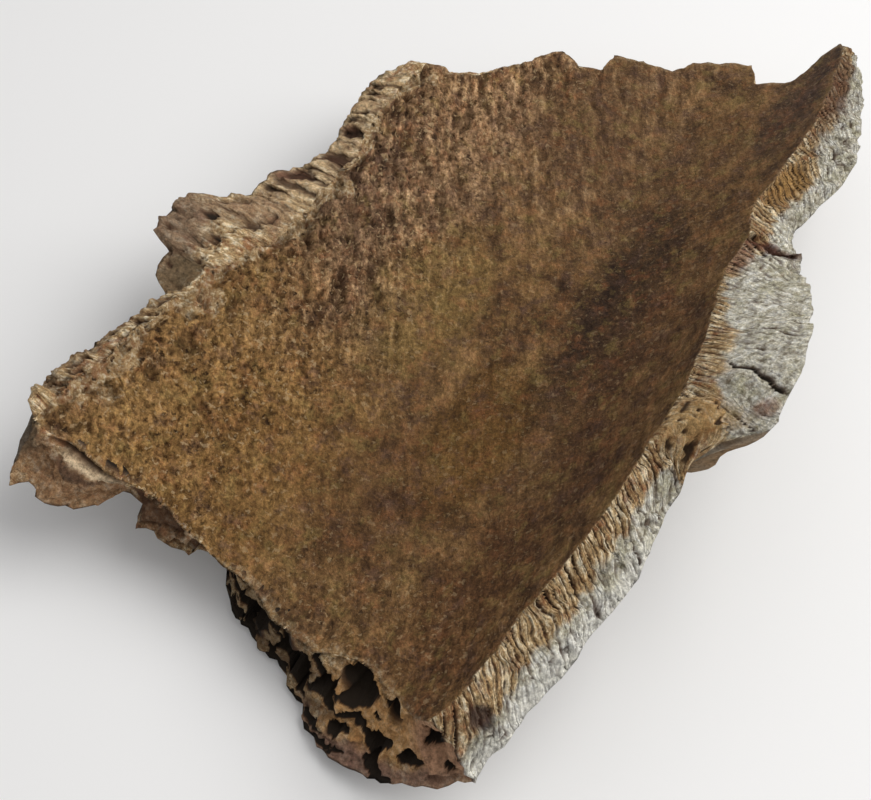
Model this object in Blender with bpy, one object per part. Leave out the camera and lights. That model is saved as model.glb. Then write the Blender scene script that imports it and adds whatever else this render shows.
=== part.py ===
"""A broken piece of cork oak bark, lying hollow side up.

The bark is one solid: a slab of cork that keeps the round of the trunk it was pulled from. Its inner
skin is fairly smooth. Its back is thick, rough plates with deep fissures between them, and its four
sides are torn. The slab starts as a box cut into a grid, whose corners run 0 to 1 across the trunk,
0 to 1 along it and 0 to 1 through the bark, and one formula moves every point to its place.

Places on the bark are given as on a sheet that has been rolled out flat: "across" is the distance
round the trunk from the lowest line of the hollow, positive to the right, and "along" runs with the
grain from the near end to the far end. Lengths are in millimetres, and the last step makes metres.
"""

import math

import bmesh
import bpy
from mathutils import Matrix, Vector, noise

MM = 0.001

# The trunk's inner face: a wide round to the left of the lowest line and a tight one to the right.
LEFT_ROUND = 253.0
RIGHT_ROUND = 132.0

# Faces of the grid across the trunk, along it and through the torn sides.
CELLS_ACROSS = 42
CELLS_ALONG = 56
CELLS_THROUGH = 5

# The inner skin's four torn edges, as (across, along). Left and right run from the near end to the
# far one, near and far run from left to right, and neighbours share their corner points.
LEFT_EDGE = (
    (-165, 6), (-161, 43), (-153, 88), (-146, 130), (-130, 172), (-127, 235), (-126, 254),
    (-131, 272), (-132, 324),
)
RIGHT_EDGE = (
    (92, -29), (106, -14), (112, 18), (124, 54), (136, 88), (139, 130), (147, 160), (139, 198),
    (121, 238), (115, 263), (118, 285), (108, 316), (114, 350), (120, 385), (114, 433), (105, 465),
)
NEAR_EDGE = (
    (-165, 6), (-129, 10), (-86, 12), (-60, 4), (-32, 1), (-10, -7), (14, -14), (37, -9),
    (60, -18), (76, -26), (92, -29),
)
FAR_EDGE = (
    (-132, 324), (-126, 344), (-120, 351), (-113, 345), (-97, 360), (-83, 387), (-74, 400),
    (-71, 411), (-51, 409), (-40, 417), (-38, 431), (-18, 438), (0, 440), (7, 451), (27, 460),
    (42, 459), (54, 442), (78, 443), (90, 463), (98, 470), (105, 465),
)

# The back's rim along each torn edge, as (place along that edge, reach, thickness): how far the back
# stands out past the inner skin's edge, and how thick the bark is there.
LEFT_RIM = (
    (6, -2, 18), (18, 8, 18), (36, 11, 18), (60, 9, 18), (76, 6, 18), (106, 8, 18),
    (117, 12, 20), (126, 22, 22), (136, 31, 24), (146, 43, 24), (156, 50, 24), (170, 52, 22),
    (180, 47, 20), (190, 35, 18), (200, 29, 18), (216, 29, 16), (230, 23, 16), (240, 18, 16),
    (256, 15, 16), (268, 12, 16), (280, 14, 15), (300, 14, 15), (324, 15, 13),
)
RIGHT_RIM = (
    (-29, 10, 31), (-15, 3, 30), (0, 6, 28), (27, 10, 28), (55, 7, 28), (69, 4, 28),
    (83, 0, 27), (97, -2, 26), (111, -4, 26), (124, 0, 26), (131, 10, 28), (138, 36, 30),
    (153, 44, 28), (167, 48, 27), (195, 48, 26), (223, 43, 26), (240, 44, 24), (251, 40, 24),
    (265, 33, 24), (272, 26, 24), (279, 19, 22), (293, 13, 22), (307, 10, 24), (321, 12, 24),
    (335, 14, 25), (349, 19, 25), (363, 18, 26), (377, 15, 24), (391, 12, 22), (405, 9, 20),
    (419, 8, 18), (433, 7, 17), (447, 6, 15), (465, 4, 12),
)
NEAR_RIM = (
    (-165, -6, 28), (-158, 8, 28), (-150, 23, 28), (-133, 21, 28), (-125, 16, 28),
    (-117, 9, 26), (-111, 2, 14), (-101, 4, 12), (-93, 11, 16), (-85, 9, 18), (-77, 6, 22),
    (-69, 0, 22), (-53, -4, 24), (-46, -1, 30), (-37, 7, 31), (-29, 6, 31), (-21, 9, 31),
    (-5, 8, 31), (3, 13, 32), (11, 18, 34), (19, 24, 34), (27, 32, 34), (35, 37, 34), (43, 35, 34),
    (51, 32, 34), (59, 29, 34), (67, 25, 34), (75, 20, 33), (83, 12, 32), (92, 9, 32),
)
FAR_RIM = ((-132, -4, 12), (0, -6, 18), (105, -4, 12))

# How quickly the torn sides give way to the bark's middle, and how far they belly out half way through.
RIM_FADE = 5
BELLY = 3.0

# The back of the bark: long plates with fissures between them, each plate of its own height, and a
# fine roughness over all of it. The plates are bent out of line by the warp.
PLATE_WIDTH = 42.0
PLATE_LENGTH = 100.0
FISSURE_FLOOR = 15.0
PLATE_RISE = 15.0
PLATE_UNEVEN = 8.0
PLATE_EDGE = 0.32
PLATE_WARP = 16.0
WARP_ACROSS = 60.0
WARP_ALONG = 90.0
ROUGH = 2.2
ROUGH_ACROSS = 16.0
ROUGH_ALONG = 30.0
THINNEST = 7.0

# Swellings and hollows of the back, as (across, along, half width, half length, rise). The piece lies on
# the third, fourth and fifth.
SWELLINGS = (
    (62, 20, 34, 60, 6),
    (0, 150, 26, 170, -10),
    (-58, 125, 36, 60, 15),
    (43, 130, 26, 60, 24),
    (5, 350, 44, 60, 7),
    (-92, 300, 60, 90, -8),
)

# The inner skin's low waves.
WAVE_HEIGHT = 2.4
WAVE_ACROSS = 46.0
WAVE_ALONG = 120.0

# The ragged breaks along the torn sides: how far they stray, how long each one is, and how much
# their pattern changes from the inner edge to the back.
RAGGED = 3.0
RAGGED_STEP = 17.0
RAGGED_TURNOVER = 1.3

# How the piece is turned to lie on its three lowest plates, and how much of them is worn flat.
ROLL_DEG = 0.2
PITCH_DEG = -1.0
WORN = 3.6


def smooth(low, high, value):
    """0 below low, 1 above high, and an even slope between."""
    share = min(1.0, max(0.0, (value - low) / (high - low)))
    return share * share * (3 - 2 * share)


def between(stations, place):
    """The values at a place, read from (place, value, value) rows in order."""
    for (start, *first), (end, *second) in zip(stations, stations[1:]):
        if place < end:
            share = smooth(start, end, place)
            return Vector(first).lerp(Vector(second), share)
    return Vector(stations[-1][1:])


def edge_ruler(points):
    """An edge's points, each with the share of the edge's length at which it lies."""
    lengths = [0.0]
    for a, b in zip(points, points[1:]):
        lengths.append(lengths[-1] + math.dist(a, b))
    return [(length / lengths[-1], Vector(p)) for length, p in zip(lengths, points)]


def on_edge(ruler, share):
    """The point of an edge at a share of its length."""
    for (start, a), (end, b) in zip(ruler, ruler[1:]):
        if share <= end:
            return a.lerp(b, (share - start) / (end - start))
    return ruler[-1][1].copy()


EDGES = [edge_ruler(points) for points in (LEFT_EDGE, RIGHT_EDGE, NEAR_EDGE, FAR_EDGE)]


def on_skin(s, t):
    """Where the inner skin's grid point lies on the flat sheet, from the four torn edges."""
    left, right = on_edge(EDGES[0], t), on_edge(EDGES[1], t)
    near, far = on_edge(EDGES[2], s), on_edge(EDGES[3], s)
    corners = (
        EDGES[0][0][1] * (1 - s) * (1 - t)
        + EDGES[1][0][1] * s * (1 - t)
        + EDGES[0][-1][1] * (1 - s) * t
        + EDGES[1][-1][1] * s * t
    )
    return left * (1 - s) + right * s + near * (1 - t) + far * t - corners


def wander(place, across, along, pattern):
    """Smooth noise from -1 to 1 over the sheet, in patches of the given width and length.

    Each pattern number gives another arrangement of the patches.
    """
    return noise.noise(Vector((place.x / across, place.y / along, pattern)))


def thickness(place):
    """The bark's thickness away from its torn sides: plates, fissures and swellings."""
    sideways = wander(place, WARP_ACROSS, WARP_ALONG, 3.1)
    lengthways = wander(place, WARP_ACROSS, WARP_ALONG, 7.7)
    bent = place + PLATE_WARP * Vector((sideways, lengthways))
    distances, centres = noise.voronoi(Vector((bent.x / PLATE_WIDTH, bent.y / PLATE_LENGTH, 0.5)))
    plate = smooth(0.0, PLATE_EDGE, distances[1] - distances[0])
    rise = PLATE_RISE + PLATE_UNEVEN * noise.noise(centres[0] * 2.3)
    for across, along, half_width, half_length, more in SWELLINGS:
        away = ((place.x - across) / half_width) ** 2 + ((place.y - along) / half_length) ** 2
        rise += more * math.exp(-away)
    rough = ROUGH * wander(place, ROUGH_ACROSS, ROUGH_ALONG, 1.3)
    return max(THINNEST, FISSURE_FLOOR + rise * plate + rough)


def inner_point(place):
    """The inner face at a place on the sheet, with the directions across it and out through the bark."""
    radius = LEFT_ROUND if place.x < 0 else RIGHT_ROUND
    turn = place.x / radius
    across = Vector((math.cos(turn), 0, math.sin(turn)))
    outward = Vector((math.sin(turn), 0, -math.cos(turn)))
    point = Vector((radius * math.sin(turn), place.y, radius * (1 - math.cos(turn))))
    wave = WAVE_HEIGHT * wander(place, WAVE_ACROSS, WAVE_ALONG, 9.1)
    return point + outward * wave, across, outward


def ragged(place, through):
    """A small shift along the sheet that breaks up a torn side, at a share of the way through it."""
    return RAGGED * Vector((
        wander(place, RAGGED_STEP, RAGGED_STEP, through * RAGGED_TURNOVER),
        wander(place, RAGGED_STEP, RAGGED_STEP, through * RAGGED_TURNOVER + 31.7),
    ))


def bark_point(s, t, w):
    """The place of the box's grid point (s across, t along, w through) on the bark."""
    skin = on_skin(s, t)
    inner, across, outward = inner_point(skin)
    left, right, near, far = ((1 - s) ** RIM_FADE, s**RIM_FADE, (1 - t) ** RIM_FADE, t**RIM_FADE)
    left_reach, left_deep = between(LEFT_RIM, skin.y)
    right_reach, right_deep = between(RIGHT_RIM, skin.y)
    near_reach, near_deep = between(NEAR_RIM, skin.x)
    far_reach, far_deep = between(FAR_RIM, skin.x)

    torn = max(left, right, near, far)
    reach = Vector((right * right_reach - left * left_reach, far * far_reach - near * near_reach)) * w
    reach.x += BELLY * math.sin(math.pi * w) * (right - left)
    reach += ragged(skin, w) * torn

    rims = left * left_deep + right * right_deep + near * near_deep + far * far_deep
    rim = rims / (left + right + near + far)
    middle = thickness(skin + reach)
    deep = middle + (rim - middle) * torn
    return inner + across * reach.x + Vector((0, reach.y, 0)) + outward * deep * w


def box_of_cells():
    """A closed unit box whose sides are cut into the grid's faces."""
    mesh = bmesh.new()
    bmesh.ops.create_cube(mesh, size=1.0, matrix=Matrix.Translation((0.5, 0.5, 0.5)))
    for axis, cells in enumerate((CELLS_ACROSS, CELLS_ALONG, CELLS_THROUGH)):
        along_axis = [
            edge for edge in mesh.edges
            if abs(edge.verts[0].co[axis] - edge.verts[1].co[axis]) > 0.5
        ]
        bmesh.ops.subdivide_edges(mesh, edges=along_axis, cuts=cells - 1, use_grid_fill=True)
    return mesh


def rest_on_floor(mesh):
    """Turns the bark as it lies, wears its lowest points flat and centres it over the origin."""
    roll = Matrix.Rotation(math.radians(ROLL_DEG), 3, "Y")
    pitch = Matrix.Rotation(math.radians(PITCH_DEG), 3, "X")
    for vertex in mesh.verts:
        vertex.co = roll @ pitch @ vertex.co
    floor = min(vertex.co.z for vertex in mesh.verts) + WORN
    for vertex in mesh.verts:
        vertex.co.z = max(0.0, vertex.co.z - floor)
    for axis in (0, 1):
        places = [vertex.co[axis] for vertex in mesh.verts]
        middle = (min(places) + max(places)) / 2
        for vertex in mesh.verts:
            vertex.co[axis] -= middle


def cork_material():
    """Dry cork, brown and quite matt."""
    material = bpy.data.materials.new("cork")
    material.use_nodes = True
    shader = material.node_tree.nodes["Principled BSDF"]
    shader.inputs["Base Color"].default_value = (0.17, 0.092, 0.036, 1.0)
    shader.inputs["Roughness"].default_value = 0.9
    shader.inputs["Metallic"].default_value = 0.0
    return material


def make_bark():
    """The one solid piece of bark."""
    mesh = box_of_cells()
    for vertex in mesh.verts:
        vertex.co = bark_point(*vertex.co)
    rest_on_floor(mesh)
    bmesh.ops.scale(mesh, vec=(MM, MM, MM), verts=mesh.verts)
    bmesh.ops.recalc_face_normals(mesh, faces=mesh.faces)
    data = bpy.data.meshes.new("cork_bark")
    mesh.to_mesh(data)
    mesh.free()
    data.materials.append(cork_material())
    return bpy.data.objects.new("cork_bark", data)


def main():
    for old in list(bpy.data.objects):
        bpy.data.objects.remove(old)
    collection = bpy.data.collections.new("Cork bark")
    bpy.context.scene.collection.children.link(collection)
    collection.objects.link(make_bark())


main()
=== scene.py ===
# %% [markdown]
# # A piece of cork oak bark
#
# The real object is a trough of bark, broken from the trunk of a cork oak and lying hollow side up.
# Its inner face is a brown, pitted skin. The cork under it shows on all four sides, where the bark was
# torn: tan, ribbed, and full of small caves at the near end. The outside is a grey, cracked crust.
#
# The plain solid of the bark comes first. It is imported here, and hidden once the bark is built.

# %% Load the imported solid
import math

import bmesh
import bpy
import numpy as np
from mathutils import Matrix, Vector, noise


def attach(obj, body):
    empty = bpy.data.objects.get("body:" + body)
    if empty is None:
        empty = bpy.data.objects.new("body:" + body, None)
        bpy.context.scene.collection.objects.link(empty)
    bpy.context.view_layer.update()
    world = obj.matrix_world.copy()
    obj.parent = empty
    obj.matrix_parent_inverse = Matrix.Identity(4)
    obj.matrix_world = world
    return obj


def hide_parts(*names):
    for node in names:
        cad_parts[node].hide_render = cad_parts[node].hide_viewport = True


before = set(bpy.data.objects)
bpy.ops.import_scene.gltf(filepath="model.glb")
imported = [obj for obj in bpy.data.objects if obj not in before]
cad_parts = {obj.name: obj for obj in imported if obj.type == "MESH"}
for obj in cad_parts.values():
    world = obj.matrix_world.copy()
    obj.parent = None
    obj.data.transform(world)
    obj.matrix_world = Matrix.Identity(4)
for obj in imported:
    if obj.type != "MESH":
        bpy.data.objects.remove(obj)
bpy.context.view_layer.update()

# %% [markdown]
# ## The sizes of the bark
#
# A sheet of bark is easiest to measure when it is thought of as rolled out flat. "Across" is the
# distance round the trunk from the lowest line of the hollow, positive to the right. "Along" runs with
# the grain from the near end to the far end. "Through" runs from the inner face to the outside.
# All three are in millimetres. The edges and rims below are the ones that the solid was made from.

# %% Sizes
MM = 0.001
LEFT_ROUND = 253.0
RIGHT_ROUND = 132.0

# The inner face's torn edges, as (across, along), from near to far and from left to right.
LEFT_EDGE = (
    (-165, 6), (-161, 43), (-153, 88), (-146, 130), (-130, 172), (-127, 235), (-126, 254),
    (-131, 272), (-131, 324),
)
RIGHT_EDGE = (
    (92, -29), (106, -14), (112, 18), (124, 54), (136, 88), (139, 130), (147, 160), (139, 198),
    (121, 238), (115, 263), (118, 285), (108, 316), (114, 350), (120, 385), (114, 433), (105, 465),
)
NEAR_EDGE = (
    (-165, 6), (-129, 10), (-86, 12), (-60, 4), (-32, 1), (-10, -7), (14, -14), (37, -9),
    (60, -18), (76, -26), (92, -29),
)
FAR_EDGE = (
    (-131, 324), (-126, 341), (-120, 347), (-113, 345), (-97, 362), (-85, 387), (-76, 402),
    (-69, 415), (-51, 410), (-42, 417), (-38, 433), (-18, 439), (0, 441), (6, 454), (27, 462),
    (44, 462), (54, 442), (78, 443), (90, 463), (98, 471), (105, 465),
)

# The back's rim along each side, as (place along that side, reach past the inner edge, thickness).
LEFT_RIM = (
    (6, -7, 11), (18, 2, 13), (36, 8, 16), (60, 11, 18), (76, 8, 18), (106, 6, 18),
    (117, 9, 19), (126, 19, 20), (136, 24, 19), (146, 40, 24), (156, 47, 24), (170, 53, 22),
    (180, 49, 20), (190, 37, 18), (200, 29, 18), (216, 28, 16), (230, 25, 16), (240, 17, 16),
    (256, 16, 16), (268, 12, 16), (280, 11, 15), (300, 13, 16), (324, 14, 13),
)
RIGHT_RIM = (
    (-29, 10, 31), (-15, 1, 28), (0, 5, 27), (27, 10, 27), (55, 7, 28), (69, 5, 30),
    (83, 0, 27), (97, -2, 26), (111, -4, 26), (120, 1, 25), (126, 1, 23), (130, 2, 21),
    (133, 8, 19), (135, 22, 21), (137, 36, 25), (140, 45, 31), (153, 47, 30), (167, 51, 29),
    (195, 50, 27), (223, 45, 27), (240, 44, 25), (251, 42, 24), (265, 36, 24), (272, 28, 24), (279, 21, 24),
    (293, 16, 23), (307, 12, 24), (321, 12, 27), (335, 14, 28), (349, 20, 30), (363, 20, 30),
    (377, 17, 28), (391, 14, 26), (405, 11, 23), (419, 9, 21), (433, 8, 19), (447, 7, 16), (465, 4, 12),
)
NEAR_RIM = (
    (-165, -8, 25), (-160, 8, 30), (-156, 25, 41), (-151, 22, 30), (-143, 23, 28), (-133, 26, 28),
    (-125, 20, 28), (-118, 10, 25), (-113, 0, 14), (-107, -2, 12), (-101, 1, 12), (-93, 12, 17),
    (-84, 9, 18), (-76, 4, 19), (-69, 2, 18), (-64, -6, 14), (-55, -9, 14), (-49, -8, 16),
    (-45, -2, 30), (-41, 4, 32), (-37, 7, 31), (-29, 7, 31), (-21, 9, 31), (-13, 7, 30), (-6, 5, 31),
    (3, 15, 32), (10, 13, 33), (19, 26, 34), (27, 34, 34), (35, 38, 34), (43, 37, 34), (51, 34, 34),
    (59, 30, 34), (67, 23, 33), (75, 16, 31), (83, 10, 31), (92, 9, 31),
)
FAR_RIM = ((-132, -4, 12), (0, -6, 18), (105, -4, 12))

# Swellings of the back, as (across, along, half width, half length, rise).
SWELLINGS = (
    (62, 20, 34, 60, 6),
    (0, 150, 26, 170, -10),
    (-58, 125, 36, 60, 15),
    (43, 130, 26, 60, 24),
    (5, 350, 44, 60, 7),
    (-92, 300, 60, 90, -8),
    (118, 133, 15, 11, -11),
)

# How the piece is turned to lie on its three lowest plates.
ROLL_DEG, PITCH_DEG = 0.2, -1.0

# %% [markdown]
# ## Reading a row of measurements, and wandering noise
#
# Bark has no straight lines. Between two measured places the shape passes smoothly from one value to
# the next, and small irregular changes come from noise: a number that drifts up and down over the
# sheet, in patches of a chosen width and length. Each pattern number gives another arrangement.

# %% Helpers for the form
def smooth(low, high, value):
    """0 below low, 1 above high, and an even slope between."""
    share = np.clip((value - low) / (high - low), 0.0, 1.0)
    return share * share * (3 - 2 * share)


def read_rows(rows, place):
    """The second and third numbers of the rows, smoothly between the places in the first."""
    rows = np.array(rows, float)
    start = np.clip(np.searchsorted(rows[:, 0], place, side="right") - 1, 0, len(rows) - 2)
    share = smooth(rows[start, 0], rows[start + 1, 0], place)[:, None]
    return (rows[start, 1:] * (1 - share) + rows[start + 1, 1:] * share).T


def on_edge(edge, share):
    """The points of an edge at shares of its length, as across and along."""
    points = np.array(edge, float)
    steps = np.linalg.norm(np.diff(points, axis=0), axis=1)
    ruler = np.concatenate(([0.0], np.cumsum(steps))) / steps.sum()
    return np.stack([np.interp(share, ruler, points[:, axis]) for axis in (0, 1)])


def spots(first, second, third):
    """Points for the noise functions, from three lists of coordinates or single numbers."""
    return np.stack(np.broadcast_arrays(first, second, third), axis=-1).tolist()


def wander(first, second, wide, long, pattern):
    """Smooth noise from -1 to 1, in patches of the given width and length."""
    return np.array([noise.noise(spot) for spot in spots(first / wide, second / long, pattern)])


def rough(first, second, wide, long, pattern, octaves=4):
    """Rough noise: wandering noise with smaller and smaller patches on top of the first ones."""
    return np.array([
        noise.fractal(spot, 0.8, 2.1, octaves)
        for spot in spots(first / wide, second / long, pattern)
    ])


def groove(first, second, wide, long, pattern, sharp):
    """1 in the bottom of thin winding grooves and 0 on the ribs between them."""
    return 1 - smooth(0.0, sharp, np.abs(wander(first, second, wide, long, pattern)))


def scattered(first, second, wide, long, pattern):
    """Distances to the nearest and next of scattered points, and a number of the nearest's own."""
    found = [noise.voronoi(spot) for spot in spots(first / wide, second / long, pattern)]
    nearest = np.array([distances[0] for distances, points in found])
    following = np.array([distances[1] for distances, points in found])
    own = np.array([noise.noise(points[0] * 2.3) for distances, points in found])
    return nearest, following, own


# %% [markdown]
# ## A box cut into a fine grid
#
# The whole piece is one closed body, so it starts as one closed cube. Each direction is cut into many
# faces, by selecting the edges that run that way and subdividing them. All but the outside is then cut
# once more, and three of the torn sides again, because they show the finest forms. Corners of the cube
# run from 0 to 1: across the trunk, along it and through the bark. Later each is moved to its place.

# %% The grid box
CUTS = ((45, 2), (62, 2), (6, 4))
CAVES_FROM = 0.44
EPS = 1e-5

bpy.ops.object.select_all(action="DESELECT")
bpy.ops.mesh.primitive_cube_add(size=1.0, location=(0.5, 0.5, 0.5))
bark = bpy.context.object
bark.name = "bark"
bpy.ops.object.transform_apply(location=True)


def cut(axis, pieces, chosen=lambda at: True):
    """Cuts the edges that run along an axis, and start at a chosen place, into equal pieces."""
    bpy.ops.mesh.select_all(action="DESELECT")
    grid = bmesh.from_edit_mesh(bark.data)
    for edge in grid.edges:
        start, end = edge.verts[0].co, edge.verts[1].co
        if abs(start[axis] - end[axis]) > EPS and chosen(start):
            edge.select = True
    bmesh.update_edit_mesh(bark.data)
    bpy.ops.mesh.subdivide(number_cuts=pieces - 1)


bpy.ops.object.mode_set(mode="EDIT")
bpy.ops.mesh.select_mode(type="EDGE")
for axis, steps in enumerate(CUTS):
    for pieces in steps:
        cut(axis, pieces)
cut(0, 2, lambda at: at.z < 1 - EPS)
cut(1, 2, lambda at: at.z < 1 - EPS)
cut(0, 2, lambda at: at.z < 1 - EPS and at.y < EPS)
cut(1, 2, lambda at: at.z < 1 - EPS and (at.x < EPS or at.x > 1 - EPS))
cut(2, 2, lambda at: at.y < EPS and at.x > CAVES_FROM)
bpy.ops.object.mode_set(mode="OBJECT")
print("grid box:", len(bark.data.vertices), "corners,", len(bark.data.polygons), "faces")

corners = np.zeros(len(bark.data.vertices) * 3)
bark.data.vertices.foreach_get("co", corners)
S, T, W = corners.reshape(-1, 3).T
ON_SKIN, ON_BACK = W < EPS, W > 1 - EPS
ON_LEFT, ON_RIGHT, ON_NEAR, ON_FAR = S < EPS, S > 1 - EPS, T < EPS, T > 1 - EPS

# %% [markdown]
# ## Where each corner lies on the rolled-out sheet
#
# The four torn edges are known. A corner inside the sheet lies between the left and the right edge and
# between the near and the far one, so its place is the sum of both blends, less the blend of the four
# outermost corners, which both of them hold.

# %% Places on the sheet
left, right = on_edge(LEFT_EDGE, T), on_edge(RIGHT_EDGE, T)
near, far = on_edge(NEAR_EDGE, S), on_edge(FAR_EDGE, S)
outermost = (
    np.outer(LEFT_EDGE[0], (1 - S) * (1 - T)) + np.outer(RIGHT_EDGE[0], S * (1 - T))
    + np.outer(LEFT_EDGE[-1], (1 - S) * T) + np.outer(RIGHT_EDGE[-1], S * T)
)
ACROSS, ALONG = left * (1 - S) + right * S + near * (1 - T) + far * T - outermost

# How far each corner is from the four torn edges, in millimetres.
FROM_LEFT, FROM_RIGHT = S * (right - left)[0], (1 - S) * (right - left)[0]
FROM_NEAR, FROM_FAR = T * (far - near)[1], (1 - T) * (far - near)[1]
FROM_EDGE = np.minimum(np.minimum(FROM_LEFT, FROM_RIGHT), np.minimum(FROM_NEAR, FROM_FAR))
print("sheet: %.0f mm across, %.0f mm along" % (np.ptp(ACROSS), np.ptp(ALONG)))

# %% [markdown]
# ## The big form
#
# The sheet is bent round a wide trunk on the left and a tighter one on the right. The bark's thickness
# comes from its back: long plates with fissures between them. Near a torn side the thickness passes
# into the one measured on that side's rim, and the back reaches out past the inner edge.

# %% The back's plates and fissures
def back_thickness(across, along):
    """The bark's thickness away from its torn sides."""
    bent_across = across + 16 * wander(across, along, 60, 90, 3.1)
    bent_along = along + 16 * wander(across, along, 60, 90, 7.7)
    nearest, following, own = scattered(bent_across, bent_along, 42, 100, 0.5)
    rise = 15 + 8 * own
    for middle_across, middle_along, half_width, half_length, more in SWELLINGS:
        away = ((across - middle_across) / half_width) ** 2 + ((along - middle_along) / half_length) ** 2
        rise = rise + more * np.exp(-away)
    plate = smooth(0.0, 0.32, following - nearest)
    return np.maximum(7.0, 15 + rise * plate + 2.2 * wander(across, along, 16, 30, 1.3)), plate


# %% The sides' rims
fade = {"left": (1 - S) ** 5, "right": S**5, "near": (1 - T) ** 5, "far": T**5}
torn = np.maximum.reduce(list(fade.values()))
left_reach, left_deep = read_rows(LEFT_RIM, ALONG)
right_reach, right_deep = read_rows(RIGHT_RIM, ALONG)
near_reach, near_deep = read_rows(NEAR_RIM, ACROSS)
far_reach, far_deep = read_rows(FAR_RIM, ACROSS)

reach_across = (fade["right"] * right_reach - fade["left"] * left_reach) * W
reach_across += 3.0 * np.sin(np.pi * W) * (fade["right"] - fade["left"])
reach_across += 3.0 * torn * wander(ACROSS, ALONG, 17, 17, W * 1.3)
reach_along = (fade["far"] * far_reach - fade["near"] * near_reach) * W
reach_along += 3.0 * torn * wander(ACROSS, ALONG, 17, 17, W * 1.3 + 31.7)

rim_deep = (
    fade["left"] * left_deep + fade["right"] * right_deep
    + fade["near"] * near_deep + fade["far"] * far_deep
) / sum(fade.values())
middle_deep, plate = back_thickness(ACROSS + reach_across, ALONG + reach_along)
DEEP = middle_deep + (rim_deep - middle_deep) * torn
THROUGH = DEEP * W
# How far a corner of a torn side is from the inner edge, measured on that side's own surface.
DOWN = W * np.hypot(np.where(ON_RIGHT, right_reach, np.where(ON_LEFT, left_reach, near_reach)), DEEP)
print("bark %.0f to %.0f mm thick" % (DEEP.min(), DEEP.max()))

# %% [markdown]
# ## Frayed edges
#
# The edges above are the large shape of each break. A real break is frayed: every few millimetres it
# jumps in or out. The corners near an edge slide along the sheet, most at the edge itself.

# %% Fray
at_edge = np.exp(-((FROM_EDGE / 6.0) ** 2))
plate_part = smooth(140, 155, ALONG) * (1 - smooth(255, 275, ALONG)) * (FROM_RIGHT < 12)
jumps = 2.2 - 0.9 * (FROM_NEAR < 12) - 1.3 * plate_part
further_out = 0.7 + (0.7 + 1.4 * (FROM_NEAR < 12)) * W
reach_across += jumps * further_out * at_edge * rough(ACROSS, ALONG, 9, 9, W * 2.5 + 4.2)
reach_along += jumps * further_out * at_edge * rough(ACROSS, ALONG, 9, 9, W * 2.5 + 8.6)
print("jumps of the fray: %.1f to %.1f mm" % (jumps.min(), jumps.max()))

# %% [markdown]
# ## The torn sides: ribs, layers and caves
#
# Torn cork is ribbed across its thickness, a rib every three or four millimetres. Each corner of a side
# moves into the bark by the depth found here, and the same depth is kept as an attribute, from which
# the material paints shade into each groove. On the right side the ribs lean towards the near end,
# and the outer part has weathered to a grey crust.

# %% The right side
# How far a rib slides towards the near end for each millimetre through the bark.
RIB_LEAN = ((-29, 0.5), (118, 0.6), (150, 0.9), (262, 0.9), (292, 0.8), (340, 1.1), (400, 1.7), (465, 1.7))
# How much of the thickness is tan cork, before the grey crust begins.
TAN_SHARE = (
    (-29, 0.6), (60, 0.46), (120, 0.5), (124, 1.2), (134, 1.2), (137, 0.74), (140, 0.56), (151, 0.36),
    (185, 0.32), (215, 0.21), (240, 0.14), (270, 0.2), (300, 0.42), (330, 0.62), (352, 0.5), (370, 0.25),
    (420, 0.3), (465, 0.5),
)
lean = ALONG + np.interp(ALONG, *zip(*RIB_LEAN)) * THROUGH
tan_share = np.interp(ALONG, *zip(*TAN_SHARE))
ragged_border = 0.16 * wander(lean, THROUGH, 5, 14, 9.2) + 0.12 * wander(ALONG, THROUGH, 22, 12, 4.4)
weathered = smooth(-0.05, 0.05, W - tan_share + ragged_border)

RIB_STEP = 3.8
winding = lean + 1.8 * wander(ALONG, THROUGH, 10, 14, 2.2)
rib = (0.5 + 0.5 * np.cos(2 * np.pi * winding / RIB_STEP)) ** 3.4
rib_depth = np.clip(2.1 + 3.6 * wander(winding, DOWN, 9, 14, 6.1), 0.2, 4.2)
crack = groove(winding, DOWN, 7, 45, 8.4, 0.09)
ring = groove(winding, DOWN, 16, 6, 5.5, 0.09)
right_carve = (1 - 0.5 * weathered) * rib_depth * rib + weathered * (1.6 * crack + 1.0 * ring)
right_carve += 0.8 * rough(ALONG, DOWN, 9, 7, 3.3)

# The big plate is nearly flat. Its layers end one after the other, parallel to its rim.
big_plate = smooth(144, 158, ALONG) * (1 - smooth(258, 276, ALONG)) * smooth(0.08, 0.26, W)
layers_out = (DOWN + 4 * wander(ALONG, DOWN, 18, 9, 1.6)) / 12.0
right_carve *= 1 - 0.55 * big_plate
right_carve += big_plate * 0.7 * (layers_out - np.floor(layers_out))
# One long crack crosses the plate along the lean of the ribs.
PLATE_CRACK = 182.4
from_crack = np.abs(lean - PLATE_CRACK + 3.5 * wander(DOWN, ALONG, 9, 60, 5.2))
right_carve += 3.4 * big_plate * (1 - smooth(0.3, 1.7, from_crack)) * smooth(0.24, 0.36, W)

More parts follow.
